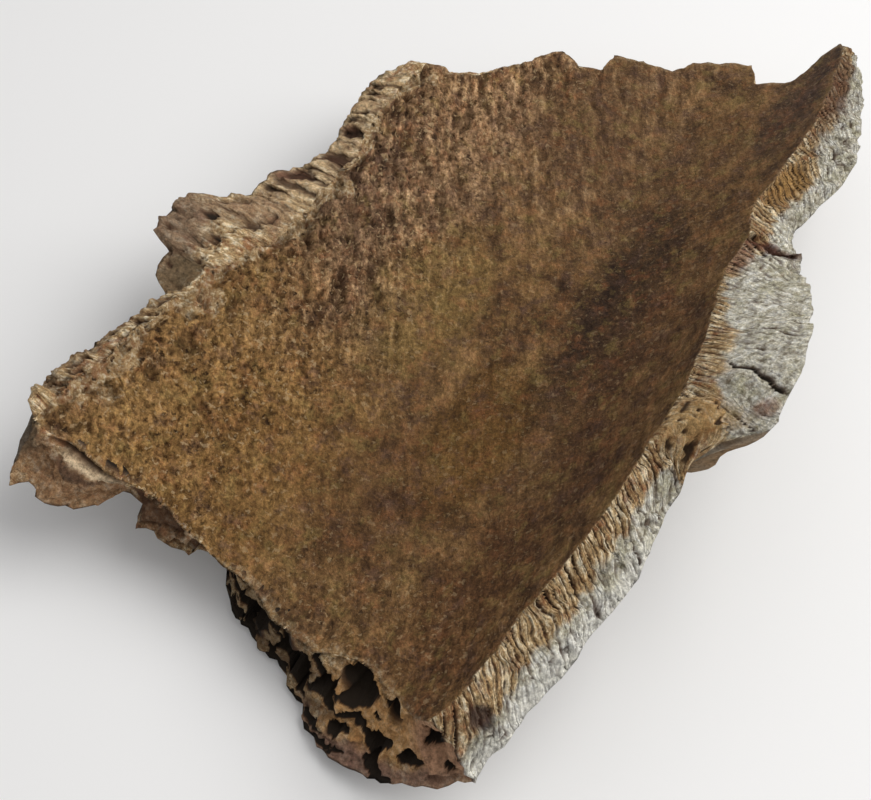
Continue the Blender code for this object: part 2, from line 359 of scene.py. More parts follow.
# The knob below it is a burl: a hard round lump with small pits. It hides the plate's lower corner.
# Its outer rim, as (along, share through).
KNOB_RIM = ((134, 1.15), (137, 0.76), (140, 0.58), (151, 0.40))
knob_rim = np.interp(ALONG, *zip(*KNOB_RIM)) + 0.08 * wander(ALONG, DOWN, 5, 5, 3.8)
knob = smooth(0.0, 0.08, knob_rim - W) * smooth(125, 131, ALONG) * (1 - smooth(147, 154, ALONG))
knob_pits = smooth(0.16, 0.34, wander(ALONG, DOWN, 3.2, 3.8, 14.2)) * knob
dome_along = np.clip(1 - ((ALONG - 140) / 15) ** 2, 0, 1)
dome_through = np.clip(4 * W * (knob_rim - W) / knob_rim**2, 0, 1)
dome = np.sqrt(dome_along * dome_through)
right_carve += 2.6 * knob_pits - (2.0 + 6.0 * dome + 0.6 * right_carve) * knob
print("ribs up to %.1f mm deep, one every %.1f mm" % (rib_depth.max(), RIB_STEP))

# %% [markdown]
# The left side was torn in coarse layers. Each layer is a wedge, about nine millimetres long, that
# leans out further and further and then steps back.

# %% The left side
LAYER_LENGTH, LAYER_STEP = 9.0, 4.2
layer = (ALONG - 0.15 * THROUGH + 2.5 * wander(ALONG, THROUGH, 14, 8, 1.7)) / LAYER_LENGTH
wedge = (layer - np.floor(layer)) ** 1.6
layered = smooth(180, 215, ALONG) + 0.35 * smooth(115, 90, ALONG)
left_carve = LAYER_STEP * wedge * layered * (0.65 + 0.7 * wander(ALONG, THROUGH, 16, 9, 11.3))
left_carve += 1.1 * groove(ALONG, THROUGH, 4, 16, 7.4, 0.3) + 1.6 * rough(ALONG, THROUGH, 13, 8, 5.8)
chips = smooth(0.10, 0.30, wander(ALONG, DOWN, 5, 4, 14.2)) * smooth(118, 95, ALONG)
on_lump = smooth(116, 130, ALONG) * (1 - smooth(184, 198, ALONG))
lobes = groove(ALONG, DOWN, 15, 13, 3.9, 0.14)
left_carve += 2.6 * chips + on_lump * (2.4 * lobes + 0.8 * rough(ALONG, DOWN, 6, 5, 8.3))
print("left side: layers of %.0f mm, each stepping back by about %.0f mm" % (LAYER_LENGTH, LAYER_STEP))

# %% [markdown]
# At the near end lumps of cork stayed on the tree. What is left is a honeycomb: flat broken faces of
# different heights, with caves between them that get black painted shade. Under the middle, scattered
# points share the side out among themselves, and each point's own number says how deep its patch lies.
# Further right the caves wind round each other, so there they open where smooth noise is low.

# %% The near side
bent_across = ACROSS + 4.5 * wander(ACROSS, DOWN, 9, 8, 2.9) + 1.2 * wander(ACROSS, DOWN, 2.6, 2.6, 5.1)
bent_down = DOWN + 4.5 * wander(ACROSS, DOWN, 9, 8, 9.4) + 1.2 * wander(ACROSS, DOWN, 2.6, 2.6, 3.7)
own = scattered(bent_across, bent_down, 7, 5, 6.3)[2]
swirl = wander(bent_across, bent_down, 12, 6.5, 6.3)
hollowed = smooth(-52, -45, ACROSS)
# Up to which number a patch, or a swirl, is a cave, as (across, number).
PATCHES_OPEN = ((-50, 0.16), (-40, 0.14), (20, 0.06))
SWIRLS_OPEN = ((10, 0.08), (30, -0.08), (55, -0.16), (75, -0.38), (92, -0.70))
SWIRLS_FROM, CAVE_DEEP = 14, 12.0
patch_caves = smooth(-0.03, 0.03, np.interp(ACROSS, *zip(*PATCHES_OPEN)) - own)
swirl_caves = smooth(-0.07, 0.07, np.interp(ACROSS, *zip(*SWIRLS_OPEN)) - swirl)
opened = np.where(ACROSS < SWIRLS_FROM + 4 * own, patch_caves, swirl_caves)
uneven = 4.0 * np.abs(own) * (ACROSS < SWIRLS_FROM) + 6.0 * np.abs(swirl) * (ACROSS > SWIRLS_FROM)
near_carve = hollowed * (CAVE_DEEP * opened + uneven)
near_carve += (0.6 + 0.4 * hollowed) * rough(ACROSS, DOWN, 9, 7, 6.6)
flat_breaks = scattered(bent_across, 1.5 * bent_down, 17, 17, 2.4)[2]
near_carve += (1 - hollowed) * 5.0 * flat_breaks * smooth(-108, -118, ACROSS)
near_carve += (1 - hollowed) * smooth(-112, -100, ACROSS) * 4.0 * patch_caves
print("share of the near side that is cave: %.2f" % opened[ON_NEAR].mean())

# %% [markdown]
# A few forms have their own known place: the notch and the splits on the right, the hollows and lobes
# of the lump on the left, the crack under the near left corner.

# %% Caves and lumps placed one by one
# For each side, as (place along it, share through, half length, half share, depth, light). A lump's
# depth is below 0. A hollow of light 1 gets no painted shade, and one of light 0 gets the full painted
# shade.
PLACED = {
    "left": (
        (270, 0.62, 4.5, 0.34, 4, 0.3), (248, 0.4, 5, 0.45, 4.5, 0.3),
        (225, 0.66, 7, 0.32, 4, 0.3), (168, 0.58, 3.2, 0.08, 4.5, 0.2),
        (157, 0.36, 5, 0.07, 4, 0.3), (178, 0.44, 2, 0.26, 3, 0.4),
        (150, 0.66, 1.8, 0.3, 3, 0.5), (163, 0.52, 9, 0.24, -3, 1),
        (127, 0.5, 12, 0.42, 5, 1), (146, 0.86, 9, 0.28, -5, 1),
        (172, 0.82, 9, 0.26, -5, 1), (160, 0.16, 24, 0.12, -2.5, 1),
        (7, 0.62, 9, 0.28, 7, 1), (16, 0.24, 9, 0.26, -6, 1),
    ),
    "right": (
        (286, 0.2, 4.2, 0.24, 5, 0.85), (284, 0.55, 3.8, 0.3, 6, 0.85),
        (281, 0.88, 3.4, 0.22, 5, 0.85), (204, 0.62, 0.9, 0.12, 2.2, 0.3),
        (200, 0.78, 0.9, 0.14, 2.2, 0.3), (232, 0.45, 0.8, 0.16, 1.8, 0.4),
        (184, 0.5, 0.8, 0.14, 1.8, 0.4), (336, 0.26, 16, 0.26, 3, 1),
        (-14, 0.42, 4, 0.18, 2, 0.9),
    ),
    "near": (
        (-131, 0.09, 20, 0.08, 9, 0), (-128, 0.17, 20, 0.03, -1.4, 1),
        (40, 0.2, 10, 0.14, 13, 0), (61, 0.28, 3.5, 0.1, 10, 0),
    ),
}
placed = dict.fromkeys(PLACED, 0.0)
stays_light = dict.fromkeys(PLACED, 0.0)
for side, forms in PLACED.items():
    run = ACROSS if side == "near" else ALONG
    for at, middle, half_length, half_share, depth, light in forms:
        bent_run = run + 1.5 * wander(run, THROUGH, 6, 5, at)
        away = ((bent_run - at) / half_length) ** 2 + ((W - middle) / half_share) ** 2
        form = depth * (1 - smooth(0.35, 1.25, away))
        placed[side] = placed[side] + form
        stays_light[side] = stays_light[side] + form * light

inside = smooth(0.0, 0.06, W) * (1 - smooth(0.93, 1.0, W))
plain_wall = 1 - 0.75 * smooth(0.4, 1.2, np.abs(placed["left"]) / 3)
left_carve = left_carve * plain_wall
right_carve = inside * (right_carve + placed["right"])
left_carve = inside * (left_carve + placed["left"])
near_carve = inside * (near_carve + placed["near"])
far_carve = inside * 1.5 * rough(ACROSS, THROUGH, 8, 6, 7.2)

# The ribs' ends also notch the edge of the inner face.
teeth = 1.4 * rib * np.exp(-((FROM_RIGHT / 3.0) ** 2)) * (W < EPS)
reach_across += np.where(ON_LEFT, left_carve, 0) - np.where(ON_RIGHT, right_carve, 0) - teeth
reach_along += np.where(ON_NEAR, near_carve, 0) - np.where(ON_FAR, far_carve, 0)
print("deepest cave: %.1f mm" % max(side.max() for side in (right_carve, left_carve, near_carve)))

# %% [markdown]
# ## The inner skin's relief
#
# The skin is smooth only from far away. It has low lumps and pits two to four millimetres wide. On the
# far left it is rough with fibres and long dents that run slantwise over the grain, and a ragged strip
# along its edges has come off and shows the torn cork.

# %% Skin relief
turn = math.radians(29)
fibre_across = ACROSS * math.cos(turn) + ALONG * math.sin(turn)
fibre_along = ALONG * math.cos(turn) - ACROSS * math.sin(turn)
FIBROUS = smooth(-25, -80, ACROSS) * smooth(125, 185, ALONG)
FIBROUS = np.maximum(FIBROUS, 0.5 * smooth(50, -10, ACROSS) * smooth(230, 320, ALONG))
COARSE = 0.30 + 0.70 * np.maximum(smooth(-10, -95, ACROSS), 0.4 * smooth(70, 10, ALONG))

lumps = rough(fibre_across, fibre_along, 7, 11, 1.1, 5)
creases = 1 - smooth(0.0, 0.30, np.abs(rough(fibre_across, fibre_along, 6, 10, 23.4, 3)))
dents = smooth(0.14, 0.38, wander(fibre_across, fibre_along, 3.6, 5.5, 2.7))
long_dents = smooth(0.12, 0.40, wander(fibre_across, fibre_along, 4.5, 20, 4.4))
fibres = rough(fibre_across, fibre_along, 4.0, 20, 3.9)
HEIGHT = COARSE**1.5 * (1.8 * lumps - 1.4 * dents - 1.2 * creases)
HEIGHT += FIBROUS * (1.1 * fibres - 2.0 * long_dents)

strip = 5 + 20 * np.clip(0.25 + 1.1 * wander(ACROSS, ALONG, 26, 26, 13.1), 0, 1)
torn_off = 0.7 * rough(ACROSS, ALONG, 7, 8, 15.7, 5)
BARE = 1 - smooth(0.6, 1.15, FROM_LEFT / strip + torn_off)
lip = 2.0 + 3.5 * smooth(-52, -42, ACROSS) * (1 - smooth(55, 68, ACROSS))
for gap, width in ((FROM_RIGHT, 1.2), (FROM_NEAR, lip), (FROM_FAR, 2.0)):
    BARE = np.maximum(BARE, 0.5 - 0.5 * smooth(0.6, 1.2, gap / width + torn_off))
holes = smooth(0.15, 0.40, wander(ACROSS, ALONG, 4.0, 4.6, 21.7)) * smooth(32, 12, FROM_LEFT)
HEIGHT -= BARE * (0.8 + 1.3 * rough(ACROSS, ALONG, 5, 6, 6.3)) + 2.2 * holes

# The largest hollows, as (across, along, half width, half length, depth). They lie along the fibres.
HOLLOWS = (
    (-119, 192, 3, 8, 3.5), (-86, 174, 3.2, 14, 3.5), (-43, 163, 1.6, 20, 1.8), (-135, 66, 3, 4, 3),
    (-130, 92, 4, 7, 2.5), (-124, 123, 3.5, 7, 2.5), (-104, 214, 2.6, 12, 2.5), (-78, 207, 2.4, 10, 2),
)
hollows = 0.0
for at_across, at_along, half_width, half_length, deep in HOLLOWS:
    aside = (ACROSS - at_across) * math.cos(turn) + (ALONG - at_along) * math.sin(turn)
    ahead = (ALONG - at_along) * math.cos(turn) - (ACROSS - at_across) * math.sin(turn)
    away = (aside / half_width) ** 2 + (ahead / half_length) ** 2 + 0.8 * lumps
    hollows = hollows + deep * (1 - smooth(0.2, 1.6, away))
HEIGHT -= hollows
print("skin relief from %.1f to %.1f mm" % (HEIGHT[ON_SKIN].min(), HEIGHT[ON_SKIN].max()))

# %% The back's own relief
# The crust is cracked along the grain and, further apart, across it. It is plain next to the rims.
long_cracks = groove(ACROSS, ALONG, 12, 50, 4.7, 0.14)
cross_cracks = groove(ACROSS, ALONG, 24, 12, 2.8, 0.12)
back_cracks = 3.0 * long_cracks + 2.4 * cross_cracks
back_relief = back_cracks * plate + 2.4 * rough(ACROSS, ALONG, 8, 14, 5.1)
back_inset = np.where(ON_BACK, np.maximum(back_relief, -0.6), 0.0) * smooth(1, 14, FROM_EDGE)
print("crust relief up to %.1f mm deep" % back_inset.max())

# %% [markdown]
# ## Bending the sheet into the trough
#
# Now every corner can be placed. The inner face is an arc, the bark grows outwards from it, and the
# whole piece is then turned a little, worn flat where it touches the ground, and centred.

# %% Every corner to its place
radius = np.where(ACROSS < 0, LEFT_ROUND, RIGHT_ROUND)
bend = ACROSS / radius
wave = 2.4 * wander(ACROSS, ALONG, 46, 120, 9.1)
skin_shift = np.where(ON_SKIN, -HEIGHT, 0.0) * (1 - 0.5 * at_edge)
outwards = THROUGH + wave + skin_shift - back_inset
place = np.stack([
    radius * np.sin(bend) + np.cos(bend) * reach_across + np.sin(bend) * outwards,
    ALONG + reach_along,
    radius * (1 - np.cos(bend)) + np.sin(bend) * reach_across - np.cos(bend) * outwards,
])
lie = Matrix.Rotation(math.radians(ROLL_DEG), 3, "Y") @ Matrix.Rotation(math.radians(PITCH_DEG), 3, "X")
# The shift centres the piece and sinks its lowest plates by the 3.6 mm that are worn off them.
SHIFT_MM = (10.973, -211.660, 34.408)
place = (np.array(lie) @ place).T + SHIFT_MM
place[:, 2] = np.maximum(place[:, 2], 0.0)
bark.data.vertices.foreach_set("co", (place * MM).ravel())
bark.data.update()

bpy.ops.object.select_all(action="DESELECT")
bark.select_set(True)
bpy.context.view_layer.objects.active = bark
bpy.ops.object.mode_set(mode="EDIT")
bpy.ops.mesh.select_all(action="SELECT")
bpy.ops.mesh.normals_make_consistent(inside=False)
bpy.ops.object.mode_set(mode="OBJECT")
bpy.ops.object.shade_smooth()
print("bark from", (place.min(0) * MM).round(4), "to", (place.max(0) * MM).round(4))

# %% [markdown]
# ## What the materials need to know
#
# The colours follow the same places as the form, so they are kept on the mesh as attributes: the
# place on the sheet, the depth of grooves and dents, which sets their painted shade, where the skin is
# fibrous or has come off, and how weathered the torn sides are.

# %% Attributes
def keep(name, values, kind="FLOAT", field="value"):
    """Keeps one number, vector or colour for each corner of the mesh."""
    layer = bark.data.attributes.new(name, kind, "POINT")
    layer.data.foreach_set(field, np.ascontiguousarray(values, dtype=np.float32).ravel())


# How much painted shade a groove gets: 1 at the depth, in millimetres, that gets quite dark on that side.
depth = np.zeros(len(S))
for side, on_side, carve, quite_dark in (
    ("left", ON_LEFT, left_carve, 5.5),
    ("right", ON_RIGHT, right_carve, 3.6),
    ("near", ON_NEAR, near_carve, 8.0),
):
    dark = (carve - inside * stays_light[side]) / quite_dark
    depth = np.where(on_side, np.maximum(depth, dark), depth)
# The knob's pits get painted shade too.
depth = np.where(ON_RIGHT, np.maximum(depth, 0.75 * knob_pits), depth)
# The walls of the near end's caves get painted shade right from their rims.
cave_wall_shade = 7 * hollowed * opened * smooth(0.06, 0.16, W)
depth = np.where(ON_NEAR, np.maximum(depth, cave_wall_shade), depth)
# Where the grooves between ribs get lines of painted shade.
ribbed = np.where(ON_RIGHT, (1 - knob) * (1 - 0.7 * big_plate) * (1 - 0.4 * weathered), 0.0)
# Fine lines follow the ribs on the right side and the layers on the left. The marks of the other broken
# faces have no direction, so they use the real place. The skin's fibres lie slantwise over the grain.
rib_lines = np.stack([winding, 0.3 * ACROSS, 0.22 * DOWN], axis=-1)
left_lines = np.stack([ALONG, 0.5 * ACROSS, 0.5 * DOWN], axis=-1)
lines = np.where(ON_RIGHT[:, None], rib_lines, np.where(ON_LEFT[:, None], left_lines, 0.6 * place))
keep("lines", lines, "FLOAT_VECTOR", "vector")
keep("fibres", np.stack([fibre_across, fibre_along, THROUGH], axis=-1), "FLOAT_VECTOR", "vector")
# The groove attribute is painted shade for the torn sides' grooves, caves and knob pits.
keep("groove", np.clip(depth, 0, 8))
keep("ribbed", ribbed)
# Painted shade in the skin's dents, creases, holes and hollows.
skin_dent_shade = COARSE**1.5 * (0.45 * dents + 0.35 * creases) + 0.8 * FIBROUS * long_dents
skin_dent_shade = skin_dent_shade + 0.9 * holes + 0.3 * hollows
keep("painted_dent_shade", np.clip(skin_dent_shade, 0, 1))
keep("fibrous", FIBROUS)
keep("coarse", COARSE)
keep("bare", BARE)
keep("weathered", np.where(ON_RIGHT, weathered, np.where(ON_BACK & ~ON_NEAR & ~ON_LEFT, 1.0, 0.0)))
# The crust's browner colour in the fissures, with painted shade in them and in the cracks.
keep("fissure_colour_and_shade", np.maximum(1 - plate, np.clip(0.3 * back_cracks, 0, 0.85)))
print("attributes on", len(S), "corners")


# %% Colours
def linear(code):
    """A six-digit colour code as linear red, green, blue and alpha."""
    parts = [int(code[i:i + 2], 16) / 255 for i in (0, 2, 4)]
    return [p / 12.92 if p <= 0.04045 else ((p + 0.055) / 1.055) ** 2.4 for p in parts] + [1.0]


# %% [markdown]
# ## Stains
#
# Sap, rain and light have stained the bark in broad soft patches. Among them are a few painted patches:
# painted shade on the right wall and under the near end, and painted light on the right side. They are
# placed one after the other, and noise makes their borders irregular. Each is kept as a colour and a
# strength.

# %% Stains placed one by one
# For each surface, as (place, place, half size, half size, colour, strength). On the skin and the back
# the places are across and along. On a side they are the place along that side and the share through.
STAINS_AND_PAINTED_LIGHT = {
    "skin": (
        (-70, 60, 55, 70, "8a6632", 0.45), (-130, 70, 26, 80, "9a7644", 0.5),
        (-118, 165, 22, 40, "8e6c3e", 0.45), (-42, 199, 26, 50, "7f6638", 0.65),
        (25, 128, 26, 52, "5c3f16", 0.75), (-5, 60, 30, 50, "50351e", 0.6),
        (15, 20, 34, 26, "705330", 0.35), (-108, 235, 22, 60, "5b4535", 0.6),
        (-72, 310, 24, 60, "8f7050", 0.7), (-20, 372, 34, 50, "553d27", 0.8),
        # The near-black patch at 55 across, 240 along is partly the skin's own dark stain and partly
        # painted shade on the right wall.
        (35, 330, 26, 60, "553e29", 0.7), (55, 240, 24, 80, "271a12", 1),
        (90, 170, 34, 110, "4b3120", 0.55), (72, 25, 30, 60, "56371f", 0.6),
        (62, 385, 22, 60, "6a4e30", 0.5), (92, 420, 18, 60, "3a2a22", 0.9),
    ),
    "left": (
        (255, 0.5, 80, 0.9, "d3b78f", 0.5), (150, 0.8, 36, 0.46, "806855", 0.8),
        (127, 0.55, 15, 0.46, "6f5c42", 0.85), (190, 0.5, 14, 0.5, "93745a", 0.6),
        (270, 0.66, 5, 0.34, "6a3c30", 0.8), (247, 0.44, 6, 0.45, "643a30", 0.8),
        (224, 0.72, 8, 0.34, "6a4038", 0.8), (60, 0.7, 60, 0.4, "8a6f55", 0.5),
    ),
    "near": (
        (-136, 0.6, 40, 0.6, "966f4f", 0.75), (-160, 0.4, 9, 0.3, "74644e", 0.75),
        (-133, 0.29, 15, 0.09, "50392b", 0.85), (-128, 0.17, 18, 0.022, "e6cda8", 0.9),
        (-85, 0.55, 25, 0.7, "6f4c36", 0.75), (-12, 0.5, 44, 0.9, "66523a", 0.85),
        (60, 0.42, 44, 0.55, "b98a55", 0.8), (50, 0.92, 46, 0.18, "876859", 0.9),
        (88, 0.5, 20, 0.6, "a67f66", 0.8),
    ),
    "back": (
        # The two dark patches at -5 and 5 along, by the near end, are partly the crust's own mauve-brown
        # and partly painted shade of the underside.
        (124, 139, 24, 9, "8d6d48", 0.75), (10, -5, 66, 34, "4a3a2c", 0.96),
        (-120, 5, 50, 22, "6a5340", 0.9),
    ),
    "right": (
        (140, 0.36, 13, 0.5, "c39a60", 0.6), (336, 0.26, 17, 0.28, "a8814c", 0.9),
        # The near-white patch at 20 along, on the outer part, is painted light for the bright light on the
        # crust there.
        (20, 0.92, 90, 0.26, "f4f2ea", 0.55), (270, 0.1, 16, 0.14, "a0776a", 0.5),
        (150, 0.85, 5, 0.14, "8f5a48", 0.55), (284, 0.5, 5, 0.6, "70382e", 0.85),
        (-14, 0.42, 5, 0.22, "3f2e30", 0.85), (415, 0.2, 50, 0.3, "6c4c39", 0.8),
    ),
}
borders = 0.5 * rough(ACROSS, ALONG + THROUGH, 20, 26, 17.3)
stain_and_painted_light, strength = np.zeros((len(S), 3)), np.zeros(len(S))
surfaces = {
    "skin": (ON_SKIN, ACROSS, ALONG), "left": (ON_LEFT, ALONG, W),
    "right": (ON_RIGHT, ALONG, W), "near": (ON_NEAR, ACROSS, W), "back": (ON_BACK, ACROSS, ALONG),
}
for surface, surface_patches in STAINS_AND_PAINTED_LIGHT.items():
    on_it, run, width = surfaces[surface]
    soft = 1.9 if surface == "skin" else 1.4
    for first, second, half_first, half_second, colour, most in surface_patches:
        away = ((run - first) / half_first) ** 2 + ((width - second) / half_second) ** 2
        here = on_it * most * (1 - smooth(0.1, soft, away + borders))
        together = here + strength * (1 - here)
        stain_and_painted_light = stain_and_painted_light * (strength * (1 - here))[:, None] + np.array(linear(colour)[:3]) * here[:, None]
        stain_and_painted_light /= np.maximum(together, 1e-6)[:, None]
        strength = together
keep("stain_and_painted_light", np.concatenate([stain_and_painted_light, strength[:, None]], axis=1), "FLOAT_COLOR", "color")
keep("stain_and_painted_light_strength", strength)
print("stains:", {surface: len(surface_patches) for surface, surface_patches in STAINS_AND_PAINTED_LIGHT.items()})

# %% [markdown]
# ## Materials
#
# A material is a small net of nodes. Noise nodes give patches between 0 and 1, range nodes stretch a
# part of such a pattern into a share, ramps turn a pattern into colours, and mix nodes lay one colour
# over another. One small function adds a node, sets it and links it, and gives back its output. Every
# pattern's scale is written as 1000 divided by the real size in millimetres, because the object's
# coordinates are in metres. Attributes that are in millimetres are divided by the size itself.
# Patches, stains with their painted light and shade, and shades come back in every material, so each has
# its own short recipe.

# %% Adding a node
NOISE, CELLS, RAMP = "ShaderNodeTexNoise", "ShaderNodeTexVoronoi", "ShaderNodeValToRGB"
RANGE, MIX, MATH = "ShaderNodeMapRange", "ShaderNodeMix", "ShaderNodeMath"
READ, PLACE, STRETCH = "ShaderNodeAttribute", "ShaderNodeTexCoord", "ShaderNodeMapping"
VECTOR, SPLIT, BUMP = "ShaderNodeVectorMath", "ShaderNodeSeparateXYZ", "ShaderNodeBump"
LAYER = {"data_type": "RGBA"}
TIMES = {"data_type": "RGBA", "blend_type": "MULTIPLY"}


def add(material, kind, inputs=None, out=None, stops=None, **settings):
    """Adds a node and gives one of its outputs. An input is a value, or the output to link to it."""
    node = material.node_tree.nodes.new(kind)
    for name, value in settings.items():
        setattr(node, name, value)
    for name, value in (inputs or {}).items():
        if isinstance(value, bpy.types.NodeSocket):
            material.node_tree.links.new(value, node.inputs[name])
        else:
            node.inputs[name].default_value = value
    if stops:
        points = node.color_ramp.elements
        while len(points) < len(stops):
            points.new(0.5)
        for point, (position, colour) in zip(points, stops):
            point.position, point.color = position, linear(colour)
    return node.outputs[out] if out else next(socket for socket in node.outputs if socket.enabled)


def dry_matt(name, roughness, colour_and_bump):
    """A new matt material. The last argument makes its nodes, and gives a colour and a bumped normal."""
    material = bpy.data.materials.new(name)
    material.use_nodes = True
    shader = material.node_tree.nodes["Principled BSDF"]
    shader.inputs["Roughness"].default_value = roughness
    shader.inputs["Specular IOR Level"].default_value = 0.2
    colour, normal = colour_and_bump(material)
    material.node_tree.links.new(colour, shader.inputs["Base Color"])
    material.node_tree.links.new(normal, shader.inputs["Normal"])
    bark.data.materials.append(material)


def lay_patches(material, colour, where, rows):
    """Lays patches over a colour. A row is (width in mm, detail, roughness, from, to, strength, colour)."""
    for width, detail, roughness, low, high, most, code in rows:
        pattern = {"Vector": where, "Scale": 1000 / width, "Detail": detail, "Roughness": roughness}
        patch = add(material, NOISE, pattern)
        patch = add(material, RANGE, {"Value": patch, "From Min": low, "From Max": high, "To Max": most})
        colour = add(material, MIX, {"Factor": patch, 6: colour, 7: linear(code)}, **LAYER)
    return colour


def lay_stains_and_painted_light(material, colour, most=1.0):
    """Lays the stains placed one by one, with the painted light and shade among them, over a colour."""
    strength = add(material, READ, out="Fac", attribute_name="stain_and_painted_light_strength")
    strength = add(material, RANGE, {"Value": strength, "To Max": most})
    stain_and_painted_light = add(material, READ, out="Color", attribute_name="stain_and_painted_light")
    return add(material, MIX, {"Factor": strength, 6: colour, 7: stain_and_painted_light}, **LAYER)


def shade(material, colour, pattern, low, darkest, lightest):
    """Multiplies a colour: by the darkest where a pattern is low, and by the lightest where it is high."""
    share = {"Value": pattern, "From Min": low, "From Max": 1 - low, "To Min": darkest, "To Max": lightest}
    return add(material, MIX, {"Factor": 1.0, 6: colour, 7: add(material, RANGE, share)}, **TIMES)


# %% [markdown]
# ### Torn cork
#
# Cork is a dead, dry tissue of closed cells, and here it was torn, not cut. That leaves a matt, light
# tan surface with thin dark lines where each year's growth ended, rust-red patches where it grew
# slowly, and grooves, which get painted shade. On the right side its outer part has weathered to a pale
# grey with fine black cracks. The strip along the skin's edge shows the same cork, so one function gives
# its colour.

# %% Torn cork
def torn_tan(material, where, lines):
    """The colour of freshly torn cork, and the pattern of its lines."""
    # A line's colour is about 2.4 mm wide, with many finer ones in it.
    fine_lines = add(material, STRETCH, {"Vector": lines, "Scale": (1 / 2.4, 1 / 2.4, 1 / 2.4)})
    streak = add(material, NOISE, {"Vector": fine_lines, "Scale": 1.0, "Detail": 8, "Roughness": 0.76})
    tan = add(material, RAMP, {"Fac": streak}, stops=(
        (0.34, "44291a"), (0.42, "97744d"), (0.475, "d6b785"), (0.497, "654326"), (0.520, "dcc092"),
        (0.62, "f2e4c6"),
    ))
    rust = (11, 6, 0.75, 0.50, 0.62, 0.70, "8a5233")
    return lay_patches(material, tan, where, (rust,)), streak


def torn_cork(material):
    where = add(material, PLACE, out="Object")
    lines = add(material, READ, out="Vector", attribute_name="lines")
    tan, streak = torn_tan(material, where, lines)

    # The weathered part: pale grey grains of 4 mm, with greenish, reddish and dark patches of 7 to 16 mm.
    crust = add(material, NOISE, {"Vector": where, "Scale": 1000 / 4.2, "Detail": 8, "Roughness": 0.76})
    grey = add(material, RAMP, {"Fac": crust}, stops=(
        (0.35, "756d58"), (0.42, "bab29c"), (0.50, "e2dcc9"), (0.60, "f8f5ea"),
    ))
    green = (16, 6, 0.75, 0.50, 0.60, 0.55, "b3ad8c")
    red = (9, 6, 0.75, 0.59, 0.67, 0.5, "a07a66")
    dark = (7, 5, 0.7, 0.46, 0.36, 0.6, "6e6556")
    grey = lay_patches(material, grey, where, (green, red, dark))
    # Thin dark lines lie where the streak pattern crosses its middle.
    drawn = add(material, RAMP, {"Fac": streak}, stops=(
        (0.36, "000000"), (0.40, "ffffff"), (0.482, "ffffff"), (0.500, "000000"), (0.518, "ffffff"),
    ))
    drawn = add(material, RANGE, {"Value": drawn, "To Min": 0.6, "To Max": 0.0})
    grey = add(material, MIX, {"Factor": drawn, 6: grey, 7: linear("4e4738")}, **LAYER)

    weathered = add(material, READ, out="Fac", attribute_name="weathered")
    colour = add(material, MIX, {"Factor": weathered, 6: tan, 7: grey}, **LAYER)
    colour = lay_stains_and_painted_light(material, colour)

    # Grains of 2.5 mm are lighter and darker than the rest.
    grains = add(material, NOISE, {"Vector": where, "Scale": 1000 / 2.5, "Detail": 6, "Roughness": 0.8})
    colour = shade(material, colour, grains, 0.34, 0.4, 1.6)
    # Painted shade: a dark line lies in each groove between two ribs, so it is drawn from the same cosine
    # as they.
    across_ribs = add(material, SPLIT, {"Vector": lines})
    turns = add(material, MATH, {0: across_ribs, 1: 2 * math.pi / RIB_STEP}, operation="MULTIPLY")
    ripple = add(material, MATH, {0: turns}, operation="COSINE")
    between = add(material, RANGE, {"Value": ripple, "From Min": 0.50, "From Max": 0.97, "To Max": 0.9})
    # The finest ribs are half as wide as the form's, so a fainter line of painted shade runs along the
    # middle of each.
    halfway = add(material, RANGE, {"Value": ripple, "From Min": -0.75, "From Max": -0.99, "To Max": 0.65})
    between = add(material, MATH, {0: between, 1: halfway}, operation="MAXIMUM")
    ribbed = add(material, READ, out="Fac", attribute_name="ribbed")
    broken_up = add(material, RANGE, {"Value": crust, "From Min": 0.42, "From Max": 0.56, "To Min": 0.1})
    between = add(material, MATH, {0: between, 1: ribbed}, operation="MULTIPLY")
    between = add(material, MATH, {0: between, 1: broken_up}, operation="MULTIPLY")
    colour = add(material, MIX, {"Factor": between, 6: colour, 7: linear("3a281c")}, **LAYER)
    # Painted shade in the grooves and caves: dark brown where shallow, near black where deep.
    groove = add(material, READ, out="Fac", attribute_name="groove")
    shallow_groove_shade = add(material, RANGE, {"Value": groove, "From Min": 0.15, "From Max": 0.55, "To Max": 0.85})
    colour = add(material, MIX, {"Factor": shallow_groove_shade, 6: colour, 7: linear("472d1d")}, **LAYER)
    deep = add(material, RANGE, {"Value": groove, "From Min": 0.50, "From Max": 0.85, "To Max": 0.95})
    colour = add(material, MIX, {"Factor": deep, 6: colour, 7: linear("251e16")}, **LAYER)

    relief = add(material, MIX, {"Factor": 0.5, 6: streak, 7: crust}, **LAYER)
    relief = add(material, MIX, {"Factor": between, 6: relief, 7: (0.2, 0.2, 0.2, 1.0)}, **LAYER)
    return colour, add(material, BUMP, {"Height": relief, "Strength": 1.0, "Distance": 0.003})
